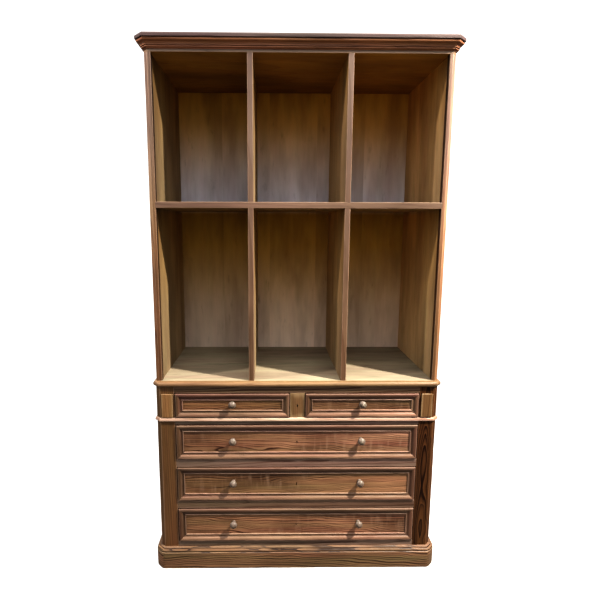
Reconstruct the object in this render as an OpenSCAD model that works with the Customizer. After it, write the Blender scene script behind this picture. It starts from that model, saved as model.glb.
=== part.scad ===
// Apothecary cabinet: open shelving case with six compartments, standing on a chest
// with two small and three wide drawers. Millimetres, +X to the right, +Y to the back,
// +Z up. The origin is on the floor, under the middle of the whole object.

/* [Cabinet] */
// Width of the case and of the chest, over the side boards
cabinet_w = 1150; // [1040:10:1300]
// Depth of a compartment, from the front plane of the case to the back boards
inner_d = 513; // [440:1:600]
// Height of the chest, floor to the top face of its top board
chest_h = 822; // [822:1:840]
// Height of a lower compartment
lower_h = 688; // [500:1:800]
// Height of an upper compartment
upper_h = 534; // [400:1:700]

/* [Boards] */
// Thickness of the side boards
side_t = 25; // [22:1:25]
// Thickness of the uprights and of the case top
board_t = 22; // [18:1:24]
// Thickness of the middle shelf
shelf_t = 24; // [18:1:26]
// Thickness of the back boards
back_t = 12; // [8:1:14]
// Number of back boards side by side
back_boards = 5; // [3:1:8]

/* [Corner posts] */
// Width of the case's front posts
case_post_w = 27.5; // [26:0.5:32]
// Canted corner of the case
case_cant = 15; // [8:1:20]
// Width of the opening between the posts of the chest
opening_w = 996; // [880:2:1000]
// Canted corner of the chest
chest_cant = 18; // [10:1:22]
// How far the chest stands in front of the case
chest_step = 12; // [6:1:20]

/* [Mouldings] */
// Overhang of the crown board
crown_out = 30; // [24:1:40]
// Overhang of the round nose of the chest's top board
nosing_out = 10.5; // [8:0.5:14]
// Overhang of the belt moulding under the small drawers
belt_out = 8; // [6:0.5:12]
// Height of the belt moulding
belt_h = 17; // [12:1:20]
// Overhang of the plinth
plinth_out = 20; // [16:1:26]
// Height of the plinth
plinth_h = 92; // [84:1:96]

/* [Drawers] */
// Height of a wide drawer front
wide_h = 146; // [130:1:146]
// Height of a small drawer front
small_h = 99; // [90:1:100]
// Height of the rail between two wide drawers
rail_h = 34; // [24:1:34]
// Gap round a drawer front
gap = 3; // [2:0.5:4]
// Width of the stile between the small drawers
stile_w = 60; // [50:1:80]
// Width of the moulding round a drawer front
frame_w = 30; // [26:1:32]
// Diameter of a knob
knob_d = 30; // [24:1:34]
// How far a knob stands in front of the drawer field
knob_l = 34; // [28:1:40]
// Distance between the two knobs of a wide drawer
knob_pitch = 528; // [400:2:600]
// How far the knobs sit above the middle of a drawer front
knob_rise = 8; // [0:1:12]
// Travel of a drawer before it meets its stop
travel = 340; // [200:10:360]

/* [Hidden] */
$fn = 48;
DRAWERS = ["small_left", "small_right", "wide_top", "wide_middle", "wide_bottom"];
WIDE = ["wide_top", "wide_middle", "wide_bottom"];
SIDES = ["left", "right"];

half_w = cabinet_w / 2;
back_y = inner_d + back_t;
field_set = 4;
knob_front = chest_step - field_set + knob_l;
mid_y = (back_y - knob_front) / 2;

case_z = chest_h;
shelf_z = case_z + lower_h;
ceiling_z = shelf_z + shelf_t + upper_h;
case_top_z = ceiling_z + board_t;
crown_t = 16;
crown_z = ceiling_z + 42;
cornice_z = ceiling_z + 10;

top_t = 22;
top_z = chest_h - top_t;
chest_front = -chest_step;
chest_post_w = half_w - opening_w / 2;
chest_post_d = 34;
case_post_d = 25;
bottom_rail_top = 115;
bottom_rail_z = 66;
wide_z = [for (i = [0 : 2]) bottom_rail_top + gap + i * (wide_h + 2 * gap + rail_h)];
belt_rail_z = wide_z[2] + wide_h + gap;
belt_rail_h = 30;
small_z = belt_rail_z + belt_rail_h + gap;
frieze_z = small_z + small_h + gap;
belt_z = belt_rail_z + belt_rail_h - belt_h + 1;
rail_d = 60;

front_t = 20;
frame_t = 10;
field_y = chest_front + field_set;
frame_y = field_y - frame_t;
box_side_t = 14;
box_back_t = 12;
box_bottom_t = 8;
box_gap = 4;
box_d = 430;
runner_t = 18;
runner_y = chest_front + rail_d;
dowel_d = 10;
lock_w = 46;
lock_t = 9;
lock_below = 22;
key_d = 6;
wide_w = opening_w - 2 * gap;
small_w = (opening_w - stile_w) / 2 - 2 * gap;
small_x = stile_w / 2 + gap + small_w / 2;

// ---- helpers -------------------------------------------------------------------

// Moves from the case's front plane to the object's own origin.
module placed() {
    translate([0, -mid_y, 0]) children();
}

function sign_of(side) = side == "left" ? -1 : 1;
function is_small(d) = d == "small_left" || d == "small_right";
function drawer_w(d) = is_small(d) ? small_w : wide_w;
function drawer_h(d) = is_small(d) ? small_h : wide_h;
function drawer_x(d) = d == "small_left" ? -small_x : d == "small_right" ? small_x : 0;
function drawer_z(d) = is_small(d) ? small_z
    : wide_z[2 - search([d], WIDE)[0]];

// Plan outline with canted front corners, pushed out by `out` on the front and the sides.
function cant_at(cant, out) = cant + out * (2 - sqrt(2));
function plan(front, back, cant, out) =
    let (w = half_w + out, f = front - out, c = cant_at(cant, out))
    [[-w, back], [-w, f + c], [-w + c, f], [w - c, f], [w, f + c], [w, back]];

// A straight length of moulding. `profile` is [out, height] pairs, out from the plane that
// runs through a to b. Each end is cut along the mitre given by its turning angle, with a
// hairline left open so that two lengths never cut into one another.
module moulding_run(profile, a, b, mitre_a, mitre_b) {
    hairline = 0.02;
    length = norm(b - a);
    angle = atan2(b[1] - a[1], b[0] - a[0]);
    reach = 60;
    translate([a[0], a[1], 0])
        rotate([0, 0, angle])
            intersection() {
                translate([-reach, 0, 0])
                    rotate([90, 0, 90])
                        linear_extrude(length + 2 * reach)
                            polygon([for (p = profile) [-p[0], p[1]]]);
                linear_extrude(case_top_z + 200)
                    polygon([[hairline, 0], [hairline - reach * tan(mitre_a), -reach],
                             [length - hairline + reach * tan(mitre_b), -reach],
                             [length - hairline, 0]]);
            }
}

// A moulding's length along the front, and its four lengths round the canted corners and
// along the sides. Each length is one solid.
module front_run(profile, front, back, cant) {
    p = plan(front, back, cant, 0);
    moulding_run(profile, p[2], p[3], 22.5, 22.5);
}
module return_runs(profile, front, back, cant) {
    p = plan(front, back, cant, 0);
    for (left = [0, 1])
        mirror([left, 0, 0]) {
            moulding_run(profile, p[3], p[4], 22.5, 22.5);
            moulding_run(profile, p[4], p[5], 22.5, 0);
        }
}

// A slab that ends in `edge`, a profile, along the line from a to b, and reaches far behind.
module edged_slab(edge, a, b) {
    reach = 2000;
    length = norm(b - a);
    translate([a[0], a[1], 0])
        rotate([0, 0, atan2(b[1] - a[1], b[0] - a[0])])
            translate([-reach, 0, 0])
                rotate([90, 0, 90])
                    linear_extrude(length + 2 * reach)
                        polygon(concat([for (e = edge) [-e[0], e[1]]],
                                       [[reach, edge[len(edge) - 1][1]],
                                        [reach, edge[0][1]]]));
}

// A board with that edge along its front, its canted corners and its sides.
module edged_board(edge, front, cant) {
    p = plan(front, back_y, cant, 0);
    bottom = edge[0][1];
    top = edge[len(edge) - 1][1];
    intersection() {
        edged_slab(edge, p[0], p[1]);
        edged_slab(edge, p[1], p[2]);
        edged_slab(edge, p[2], p[3]);
        edged_slab(edge, p[3], p[4]);
        edged_slab(edge, p[4], p[5]);
        translate([-half_w - 100, front - 100, bottom - 1])
            cube([cabinet_w + 200, back_y - front + 100, top - bottom + 2]);
    }
}

// Points of an arc in a profile, from angle a0 to a1 about a centre.
function arc(centre, r, a0, a1, steps = 6) =
    [for (i = [0 : steps])
        let (a = a0 + (a1 - a0) * i / steps)
        centre + r * [cos(a), sin(a)]];

// ---- profiles, [out, height] -----------------------------------------------------

cornice_top = crown_z - cornice_z;
cornice_profile = [for (p = concat(
    [[0, 0]],
    arc([7, 0], 4, 180, 90, 4),
    arc([7, 6.5], 2.5, -60, 60, 4),
    [[8, 10.5], [12, 10.5], [12, 14]],
    arc([21, 14], 8, 180, 100, 6),
    arc([19.5, 28], 6, -70, 35, 5),
    [[24, cornice_top], [0, cornice_top]]))
    [p[0], p[1] + cornice_z]];

nosing_r = top_t / 2;
nosing_profile =
    arc([nosing_out - nosing_r, top_z + nosing_r], nosing_r, -90, 90, 12);

belt_profile = concat(
    [[0, belt_z]],
    arc([belt_out - belt_h / 2, belt_z + belt_h / 2], belt_h / 2, -70, 70, 10),
    [[0, belt_z + belt_h]]);

plinth_face = plinth_h - 18;
plinth_profile = concat(
    [[0, 0], [plinth_out, 0], [plinth_out, plinth_face]],
    [[plinth_out - 1.5, plinth_face + 1]],
    arc([plinth_out - 8, plinth_face + 2], 7, 0, 80, 6),
    arc([plinth_out - 9, plinth_face + 15], 6, -90, -170, 5),
    [[plinth_out - 15.5, plinth_h], [0, plinth_h]]);

// Drawer moulding, [in from the outer edge, forward of the field]
frame_profile = concat(
    [[0, 0], [0, 6.5]],
    arc([3, 7], 3, 170, 110, 4),
    arc([6, -4.1], 14, 95, 46, 7),
    [[16.3, 3.6], [17.2, 3]],
    arc([21, 11.4], 9, 250, 285, 4),
    arc([frame_w - 3, 2.4], 2.6, 160, 10, 6),
    [[frame_w - 0.3, 1.5], [frame_w, 0]]);

// ---- the shelving case -------------------------------------------------------------

// Corner post with its canted edge, from z0 to z1.
module post(side, front, width, depth, cant, z0, z1) {
    s = sign_of(side);
    translate([0, 0, z0])
        linear_extrude(z1 - z0)
            polygon([for (p = [[half_w, front + depth], [half_w, front + cant],
                               [half_w - cant, front], [half_w - width, front],
                               [half_w - width, front + depth]])
                     [s * p[0], p[1]]]);
}

module case_post(side) {
    color("saddlebrown") placed()
        post(side, 0, case_post_w, case_post_d, case_cant, case_z, ceiling_z);
}

module side_board(side, front, z0, z1) {
    s = sign_of(side);
    translate([s * (half_w - side_t / 2), 0, 0])
        translate([-side_t / 2, front, z0])
            cube([side_t, inner_d - front, z1 - z0]);
}

module case_side(side) {
    color("burlywood") placed()
        side_board(side, case_post_d, case_z, ceiling_z);
}

module case_top() {
    color("peru") placed()
        translate([0, 0, ceiling_z])
            linear_extrude(board_t)
                polygon(plan(0, inner_d, case_cant, 0));
}

// Flat board whose upper edge is rounded on the front, the corners and the sides.
module crown_board() {
    edge_r = 7;
    top = crown_z + crown_t;
    edge = concat(
        [[crown_out - 1.5, crown_z], [crown_out, crown_z + 1.5]],
        arc([crown_out - edge_r, top - edge_r], edge_r, 0, 90, 8));
    color("rosybrown") placed() edged_board(edge, 0, case_cant);
}

// Battens that carry the crown board above the case top.
module crown_bearers() {
    bearer_w = 60;
    top = case_top_z;
    color("tan") placed()
        for (x = [-half_w + 60, -bearer_w / 2, half_w - 60 - bearer_w])
            translate([x, 40, top])
                cube([bearer_w, inner_d - 80, crown_z - top]);
}

module cornice_front() {
    color("saddlebrown") placed() front_run(cornice_profile, 0, back_y, case_cant);
}
module cornice_returns() {
    color("saddlebrown") placed() return_runs(cornice_profile, 0, back_y, case_cant);
}

module middle_shelf() {
    w_front = half_w - case_post_w;
    w_back = half_w - side_t;
    color("peru") placed()
        translate([0, 0, shelf_z])
            linear_extrude(shelf_t)
                polygon([[-w_back, inner_d], [-w_back, case_post_d],
                         [-w_front, case_post_d], [-w_front, 0], [w_front, 0],
                         [w_front, case_post_d], [w_back, case_post_d],
                         [w_back, inner_d]]);
}

// Upright between two compartments; the three compartments of a row are equally wide.
module divider(side, z0, height) {
    cell_w = (cabinet_w - 2 * case_post_w - 2 * board_t) / 3;
    x = sign_of(side) * (cell_w + board_t) / 2;
    color("burlywood") placed()
        translate([x - board_t / 2, 0, z0])
            cube([board_t, inner_d, height]);
}
module lower_divider(side) {
    divider(side, case_z, lower_h);
}
module upper_divider(side) {
    divider(side, shelf_z + shelf_t, upper_h);
}

// Upright boards side by side, nailed on behind.
module back_wall(z0, z1) {
    w = cabinet_w / back_boards;
    for (i = [0 : back_boards - 1])
        translate([-half_w + i * w, inner_d, z0])
            cube([w, back_t, z1 - z0]);
}
module case_back_boards() {
    color("tan") placed() back_wall(case_z, crown_z);
}

// ---- the chest ---------------------------------------------------------------------

module chest_post(side) {
    color("saddlebrown") placed()
        post(side, chest_front, chest_post_w, chest_post_d, chest_cant, 0, top_z);
}

module chest_side(side) {
    color("burlywood") placed()
        side_board(side, chest_front + chest_post_d, 0, top_z);
}

// Raised block on the post, beside the small drawers.
module pilaster_block(side) {
    block_w = 46;
    block_t = 6;
    face_w = chest_post_w - chest_cant;
    x = sign_of(side) * (opening_w / 2 + face_w / 2);
    color("peru") placed()
        translate([x - block_w / 2, chest_front - block_t, small_z])
            cube([block_w, block_t, small_h]);
}

module chest_top() {
    color("peru") placed() edged_board(nosing_profile, chest_front, chest_cant);
}

module chest_back_boards() {
    color("tan") placed() back_wall(0, top_z);
}

module chest_floor() {
    floor_t = 16;
    color("tan") placed()
        translate([-half_w + side_t, chest_front + chest_post_d, bottom_rail_z])
            cube([cabinet_w - 2 * side_t, inner_d - chest_front - chest_post_d, floor_t]);
}

// Rail across the opening, between the posts.
module rail(z, height, depth) {
    translate([-opening_w / 2, chest_front, z])
        cube([opening_w, depth, height]);
}

module frieze_rail() {
    color("saddlebrown") placed() rail(frieze_z, top_z - frieze_z, chest_post_d);
}
module belt_rail() {
    color("saddlebrown") placed() rail(belt_rail_z, belt_rail_h, rail_d);
}
module drawer_rails() {
    color("saddlebrown") placed()
        for (i = [0, 1])
            rail(wide_z[i] + wide_h + gap, rail_h, rail_d);
}
module bottom_rail() {
    color("saddlebrown") placed()
        rail(bottom_rail_z, bottom_rail_top - bottom_rail_z, chest_post_d);
}

module centre_stile() {
    keyhole_z = small_z + small_h / 2;
    recess_h = 2 * lock_below;
    color("peru") placed() difference() {
        translate([-stile_w / 2, chest_front, belt_rail_z + belt_rail_h])
            cube([stile_w, chest_post_d, frieze_z - belt_rail_z - belt_rail_h]);
        keyhole(0, keyhole_z, chest_front - 1, front_t + 1);
        translate([-lock_w / 2, chest_front + front_t, keyhole_z - lock_below])
            cube([lock_w, chest_post_d, recess_h]);
    }
}

module centre_partition() {
    y = chest_front + chest_post_d;
    z = small_z + box_gap - 1;
    color("tan") placed()
        translate([-board_t / 2, y, z])
            cube([board_t, inner_d - y, top_z - z]);
}

module belt_front() {
    color("burlywood") placed() front_run(belt_profile, chest_front, back_y, chest_cant);
}
module belt_returns() {
    color("burlywood") placed() return_runs(belt_profile, chest_front, back_y, chest_cant);
}

module plinth_front() {
    color("sienna") placed() front_run(plinth_profile, chest_front, back_y, chest_cant);
}
module plinth_returns() {
    color("sienna") placed() return_runs(plinth_profile, chest_front, back_y, chest_cant);
}

// Bearers under the drawer boxes, front rail to back boards, each with a guide strip on it
// that keeps the box straight. The small drawers share a wide bearer in the middle.
module runner_pair(z) {
    runner_w = half_w - side_t - opening_w / 2 + 30;
    guide_w = 20;
    guide_h = 20;
    guide_x = opening_w / 2 - 1 + guide_w / 2;
    length = inner_d - runner_y;
    for (s = [-1, 1]) {
        translate([s * (half_w - side_t - runner_w / 2) - runner_w / 2, runner_y, z])
            cube([runner_w, length, runner_t]);
        translate([s * guide_x - guide_w / 2, runner_y, z + runner_t])
            cube([guide_w, length, guide_h]);
    }
}
module drawer_runners() {
    drop = box_gap - 1 - runner_t;
    color("tan") placed() {
        for (z = concat(wide_z, [small_z]))
            runner_pair(z + drop);
        translate([-60, runner_y, small_z + drop])
            cube([120, inner_d - runner_y, runner_t]);
    }
}

// Small blocks on the rails that stop the drawer fronts when they are shut.
module drawer_stops() {
    stop = [40, 12, gap + 3];
    color("tan") placed()
        for (d = DRAWERS)
            for (s = [-1, 1])
                translate([drawer_x(d) + s * drawer_w(d) / 3 - stop[0] / 2,
                           field_y + front_t + 0.3, rail_top_under(d)])
                    cube(stop);
}
function rail_top_under(d) = is_small(d) ? belt_rail_z + belt_rail_h : drawer_z(d) - gap;

// ---- locks --------------------------------------------------------------------------

// Round hole with a slot below it, through the thickness of a front.
module keyhole(x, z, y, depth) {
    translate([x, y, z]) {
        rotate([-90, 0, 0]) cylinder(d = key_d, h = depth);
        translate([-1.5, 0, -9]) cube([3, depth, 9]);
    }
}

// Lock case behind a keyhole at height z: it reaches `above` over the keyhole, and a pin
// for the key's pipe stands in its mouth.
module lock_case(z, y, above) {
    difference() {
        translate([-lock_w / 2, y, z - lock_below])
            cube([lock_w, lock_t, lock_below + above]);
        translate([0, y - 1, z])
            rotate([-90, 0, 0]) difference() {
                cylinder(d = key_d + 3, h = lock_t - 1);
                cylinder(d = 2.4, h = lock_t);
            }
    }
}

module centre_stile_lock() {
    color("goldenrod") placed()
        lock_case(small_z + small_h / 2, chest_front + front_t, lock_below);
}
module drawer_lock(d) {
    h = drawer_h(d);
    color("goldenrod") placed()
        lock_case(drawer_z(d) + h / 2, field_y + front_t - lock_t, h / 2);
}

// ---- drawers ------------------------------------------------------------------------

function knob_xs(d) = is_small(d) ? [drawer_x(d)] : [-knob_pitch / 2, knob_pitch / 2];

module drawer_front(d) {
    w = drawer_w(d);
    h = drawer_h(d);
    zc = drawer_z(d) + h / 2;
    color("chocolate") placed() difference() {
        translate([drawer_x(d) - w / 2, field_y, drawer_z(d)])
            cube([w, front_t, h]);
        for (x = knob_xs(d))
            translate([x, field_y - 1, zc + knob_rise])
                rotate([-90, 0, 0]) cylinder(d = dowel_d + 0.2, h = front_t + 2);
        if (!is_small(d)) {
            keyhole(0, zc, field_y - 1, front_t - lock_t + 2);
            translate([-lock_w / 2, field_y + front_t - lock_t, zc - lock_below])
                cube([lock_w, lock_t + 1, lock_below + h]);
        }
    }
}

// One length of the moulding round a drawer front, mitred at both ends, with its outer
// edge on the X axis and the field side towards +Z.
module frame_length(length) {
    intersection() {
        translate([-length / 2, 0, 0])
            rotate([90, 0, 90])
                linear_extrude(length)
                    polygon([for (p = frame_profile) [-p[1], p[0]]]);
        rotate([90, 0, 0])
            linear_extrude(2 * frame_t)
                polygon([[-length / 2, 0], [length / 2, 0],
                         [length / 2 - frame_w, frame_w], [-length / 2 + frame_w, frame_w]]);
    }
}

module drawer_moulding(d) {
    w = drawer_w(d);
    h = drawer_h(d);
    color("peru") placed()
        translate([drawer_x(d), field_y, drawer_z(d) + h / 2])
            for (turn = [0 : 3]) {
                long = turn % 2 == 0;
                rotate([0, 90 * turn, 0])
                    translate([0, 0, long ? -h / 2 : -w / 2])
                        frame_length(long ? w : h);
            }
}

// Two sides, a back and a bottom board, each a solid of its own.
module drawer_box(d) {
    w = drawer_w(d) - 2;
    h = drawer_h(d) - 12;
    x = drawer_x(d);
    y = field_y + front_t;
    z = drawer_z(d) + box_gap;
    bottom_z = z + 6;
    inside = w - 2 * box_side_t;
    color("tan") placed() {
        for (s = [-1, 1])
            translate([x + s * (w - box_side_t) / 2 - box_side_t / 2, y, z])
                cube([box_side_t, box_d, h]);
        translate([x - inside / 2, y + box_d - box_back_t, bottom_z + box_bottom_t])
            cube([inside, box_back_t, h - bottom_z - box_bottom_t + z]);
        translate([x - inside / 2, y, bottom_z])
            cube([inside, box_d, box_bottom_t]);
    }
}

// Turned knob: a dowel through the front, a short waist and a round head.
module knob() {
    head_r = knob_d / 2;
    neck_r = 6.5;
    rotate_extrude()
        polygon(concat(
            [[0, -front_t], [dowel_d / 2, -front_t], [dowel_d / 2, 0], [9, 0], [9, 2]],
            [[neck_r, 5], [neck_r - 0.5, 9], [neck_r + 1, 12]],
            [[head_r - 3, 14.5]],
            arc([head_r - 6, 21], 6, -50, 55, 8),
            [[head_r - 6, knob_l - 4.5], [3, knob_l], [0, knob_l]]));
}
module drawer_knobs(d) {
    color("wheat") placed()
        for (x = knob_xs(d))
            translate([x, field_y, drawer_z(d) + drawer_h(d) / 2 + knob_rise])
                rotate([90, 0, 0]) knob();
}

// ---- the nodes ------------------------------------------------------------------------

for (s = SIDES) {
    case_side(s);
    case_post(s);
    lower_divider(s);
    upper_divider(s);
    chest_side(s);
    chest_post(s);
    pilaster_block(s);
}
case_top();
crown_board();
cornice_front();
cornice_returns();
crown_bearers();
middle_shelf();
case_back_boards();
chest_top();
chest_back_boards();
chest_floor();
frieze_rail();
centre_stile();
centre_partition();
belt_rail();
belt_front();
belt_returns();
drawer_rails();
bottom_rail();
plinth_front();
plinth_returns();
drawer_runners();
drawer_stops();
centre_stile_lock();
for (d = DRAWERS) {
    drawer_front(d);
    drawer_moulding(d);
    drawer_box(d);
    drawer_knobs(d);
}
for (d = WIDE) {
    drawer_lock(d);
}
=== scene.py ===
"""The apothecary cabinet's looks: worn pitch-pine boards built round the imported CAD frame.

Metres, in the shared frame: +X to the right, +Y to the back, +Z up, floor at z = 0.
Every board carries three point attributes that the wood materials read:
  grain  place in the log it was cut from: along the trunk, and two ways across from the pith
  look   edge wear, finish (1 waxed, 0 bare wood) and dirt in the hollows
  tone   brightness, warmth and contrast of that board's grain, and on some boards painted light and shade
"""
import math

import bpy
import numpy as np
from mathutils import Matrix, Vector


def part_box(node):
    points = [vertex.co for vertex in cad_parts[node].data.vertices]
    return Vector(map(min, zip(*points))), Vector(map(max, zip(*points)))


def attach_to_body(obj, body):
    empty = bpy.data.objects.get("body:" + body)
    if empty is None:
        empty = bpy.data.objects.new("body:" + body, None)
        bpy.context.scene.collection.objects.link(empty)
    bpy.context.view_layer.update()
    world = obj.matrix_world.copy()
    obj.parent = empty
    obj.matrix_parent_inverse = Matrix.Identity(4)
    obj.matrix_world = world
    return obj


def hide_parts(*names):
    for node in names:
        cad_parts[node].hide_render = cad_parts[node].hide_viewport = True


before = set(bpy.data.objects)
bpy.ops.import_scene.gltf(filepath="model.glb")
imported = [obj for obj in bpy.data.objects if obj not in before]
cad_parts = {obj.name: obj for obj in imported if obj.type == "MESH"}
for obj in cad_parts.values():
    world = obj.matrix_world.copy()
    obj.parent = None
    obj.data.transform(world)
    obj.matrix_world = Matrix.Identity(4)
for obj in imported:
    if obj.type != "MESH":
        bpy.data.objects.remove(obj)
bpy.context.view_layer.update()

MM = 0.001
X, Y, Z = np.eye(3)
SIDES = {"left": -1, "right": 1}
WIDE = ("wide_top", "wide_middle", "wide_bottom")
SMALL = ("small_left", "small_right")

# ---- sizes shared with the CAD source ----

CASE_CANT = 15 * MM
CASE_POST_W = 27.5 * MM
CHEST_CANT = 18 * MM
CHEST_POST_W = 77 * MM
KEY_D = 6 * MM
KNOB_PITCH = 528 * MM
KNOB_RISE = 8 * MM

TRUNK_STEP = 1.37  # how far one seed moves a board along its trunk
EDGE_GAIN = 0.004  # edge wear on boards, for each 1/m that their outline bends
BEND_GAIN = 0.003  # the same on mouldings, and for dirt in hollows
KNOB_GRAIN = 5  # how much finer the knobs' grain is than the boards'
WAX_DEPTH = 4 * MM  # how far the wax goes on behind a front edge


def low(node):
    return np.array(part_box(node)[0])


def high(node):
    return np.array(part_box(node)[1])


HALF_W = float(high("case_side_right")[0])
CASE_FRONT = float(low("case_post_left")[1])
CHEST_FRONT = float(low("chest_post_left")[1])
BACK = float(high("case_back_boards")[1])
PLINTH_H = float(high("plinth_front")[2])


# ---- outlines ----


def unit(v):
    return v / np.linalg.norm(v)


def arc(centre, r, a0, a1, steps):
    """Points of an arc, in degrees from a0 to a1, with both ends."""
    a = np.radians(np.linspace(a0, a1, steps + 1))
    return [(centre[0] + r * math.cos(t), centre[1] + r * math.sin(t)) for t in a]


def rounded(points, radii, seg=3):
    """A closed outline with rounded corners. radii is one number, or one for each corner."""
    points = np.array(points, float)
    radii = np.broadcast_to(radii, len(points))
    out = []
    for i, (p, r) in enumerate(zip(points, radii)):
        if r <= 0:
            out.append(p)
            continue
        d0, d1 = unit(points[i - 1] - p), unit(points[(i + 1) % len(points)] - p)
        half = 0.5 * math.acos(np.clip(d0 @ d1, -1, 1))
        centre = p + unit(d0 + d1) * r / math.sin(half)
        a, b = p + d0 * r / math.tan(half) - centre, p + d1 * r / math.tan(half) - centre
        turn = math.acos(np.clip(a @ b / r**2, -1, 1))
        for s in np.linspace(0, 1, seg + 1):
            out.append(centre + (a * math.sin((1 - s) * turn) + b * math.sin(s * turn)) / math.sin(turn))
    return np.array(out)


def shouldered(outline, reach=9 * MM, span=0.12):
    """Adds points beside the corners of every long side, and along it, so that wear stays at the edges."""
    out = []
    for p, q in zip(outline, np.roll(outline, -1, 0)):
        out.append(p)
        length = np.linalg.norm(q - p)
        near = reach if length > 3 * reach else 0.16 * length
        if length > 5 * MM:
            inner = np.linspace(near, length - near, max(2, int(length / span) + 1))
            out += [p + (q - p) * s / length for s in inner]
    return np.array(out)


def outward(outline):
    """Unit normals that point out of a counter-clockwise outline."""
    edge = np.roll(outline, -1, 0) - outline
    normal = np.stack([edge[:, 1], -edge[:, 0]], 1)
    normal /= np.linalg.norm(normal, axis=1)[:, None]
    both = normal + np.roll(normal, 1, 0)
    return both / np.linalg.norm(both, axis=1)[:, None]


def bending(outline):
    """How sharply the outline bends at each point, in 1/m: above 0 on edges, below 0 in hollows."""
    before, after = outline - np.roll(outline, 1, 0), np.roll(outline, -1, 0) - outline
    a, b = np.linalg.norm(before, axis=1), np.linalg.norm(after, axis=1)
    cross = before[:, 0] * after[:, 1] - before[:, 1] * after[:, 0]
    return np.arcsin(np.clip(cross / (a * b), -1, 1)) / np.maximum(np.minimum(a, b), 0.2 * MM)


def counter_clockwise(outline):
    x, y = outline[:, 0], outline[:, 1]
    area = np.sum(x * np.roll(y, -1) - y * np.roll(x, -1))
    return outline if area > 0 else outline[::-1]


def ripple(s, phase, pitch=1.0):
    """A smooth wavering between -1 and 1 along s, in metres."""
    s = s * pitch
    waves = ((9.1, 1, 0), (23.7, 1.7, 1), (57.3, 2.9, 2), (131.0, 4.3, 0))
    return 0.25 * sum(np.sin(rate * s + turn * phase + shift) for rate, turn, shift in waves)


# ---- boards ----


def facing_out(co, faces):
    """The faces of a closed solid, all turned over if they point into it."""
    fans = np.array([(f[0], f[i], f[i + 1]) for f in faces for i in range(1, len(f) - 1)])
    a, b, c = (co[fans[:, i]] for i in range(3))
    return faces if np.sum(a * np.cross(b, c)) > 0 else [f[::-1] for f in faces]


def toned(tone, co):
    return tone(co) if callable(tone) else np.broadcast_to(tone, co.shape)


def placed(name, data):
    """A new object in the scene."""
    made = bpy.data.objects.new(name, data)
    bpy.context.scene.collection.objects.link(made)
    return made


def attach(mesh, label, values):
    """Stores a vector at each point of the mesh."""
    if label in mesh.attributes:
        mesh.attributes.remove(mesh.attributes[label])
    made = mesh.attributes.new(label, "FLOAT_VECTOR", "POINT")
    made.data.foreach_set("vector", values.astype(np.float32).ravel())


def finish_piece(mesh, name, material, body, nodes, sharp):
    """Puts a mesh into the scene as a piece that stands for those CAD nodes."""
    mesh.materials.append(material)
    mesh.polygons.foreach_set("use_smooth", [True] * len(mesh.polygons))
    mesh.set_sharp_from_angle(angle=math.radians(sharp))
    mesh.update()
    piece = placed(name, mesh)
    piece.modifiers.new("even shading", "WEIGHTED_NORMAL").keep_sharp = True
    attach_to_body(piece, body)
    if nodes:
        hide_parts(*nodes)
    return piece


def sweep_faces(rings, n):
    """Quads between neighbouring rings of n points, and a cap on each end."""
    faces = []
    for a in range(0, (rings - 1) * n, n):
        for i in range(n):
            j = (i + 1) % n
            faces.append([a + i, a + n + i, a + n + j, a + j])
    faces.append(list(range(n)))
    faces.append(list(range((rings - 1) * n, rings * n))[::-1])
    return faces


class Mesh:
    """Collects boards, with their attributes, and turns them into one object."""

    def __init__(self):
        self.co, self.faces, self.count = [], [], 0
        self.values = {"grain": [], "look": [], "tone": []}

    def add(self, rings, grain, look, tone):
        """A solid swept through rings of points; grain and look are lists of their values."""
        co = np.concatenate(rings)
        self.co.append(co)
        for label, values in (("grain", grain), ("look", look), ("tone", [toned(tone, co)])):
            self.values[label] += values
        faces = facing_out(co, sweep_faces(len(rings), len(rings[0])))
        self.faces += [[i + self.count for i in f] for f in faces]
        self.count += len(co)

    def make(self, name, material, body, slot, *nodes, sharp=38):
        mesh = bpy.data.meshes.new(name)
        mesh.from_pydata(np.concatenate(self.co).tolist(), [], self.faces)
        for label, values in self.values.items():
            attach(mesh, label, np.concatenate(values))
        return finish_piece(mesh, name, material, body, nodes, sharp)


def prism(
    mesh, outline, origin, eu, ev, el, length, slope=(0.0, 0.0), end_r=0.0, step=0.03, pith=(0.0, -0.08),
    seed=0.0, tone=(1, 0, 1), finish=1.0, wear=0.8 * MM, wear_gain=EDGE_GAIN, chips=None,
):
    """A length of timber: an outline in (u, v) swept along el.

    slope gives each end's mitre as length per unit of u; end_r rounds square ends.
    pith is the pith's place in (u, v); finish is a number or a function of u and v.
    chips, a function of length, deepens the wear where it is above 0.
    """
    outline = counter_clockwise(np.array(outline, float))
    normal, bend = outward(outline), bending(outline)
    edge, hollow = np.clip(bend * wear_gain, 0, 1), np.clip(-bend * BEND_GAIN, 0, 1)
    u, v = outline.T
    done = finish(u, v) if callable(finish) else np.full(len(u), float(finish))
    spots = [(s, 0.0) for s in np.linspace(0, 1, max(2, int(length / step) + 1))]
    if end_r > 0:
        turns = np.radians([0, 30, 60, 90])
        head = [(end_r * (1 - math.cos(t)) / length, end_r * (1 - math.sin(t))) for t in turns]
        spots = head + [s for s in spots if end_r < s[0] * length < length - end_r]
        spots += [(1 - s, inset) for s, inset in head[::-1]]
    co, grain, look = [], [], []
    for s, inset in spots:
        along = s * length + u * (slope[0] * (1 - s) + slope[1] * s)
        worn = wear * edge * np.clip(0.3 + ripple(along + seed, 3.1 * seed + 90 * u + 70 * v), 0, 1)
        if chips is not None:
            worn = worn + edge * chips(along)
        uv = outline - normal * (worn + inset)[:, None]
        co.append(origin + uv[:, :1] * eu + uv[:, 1:] * ev + along[:, None] * el)
        grain.append(np.column_stack([along + TRUNK_STEP * seed, uv - pith]))
        look.append(np.column_stack([np.maximum(edge, float(inset > 0)), done, hollow]))
    mesh.add(co, grain, look, tone)


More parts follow.
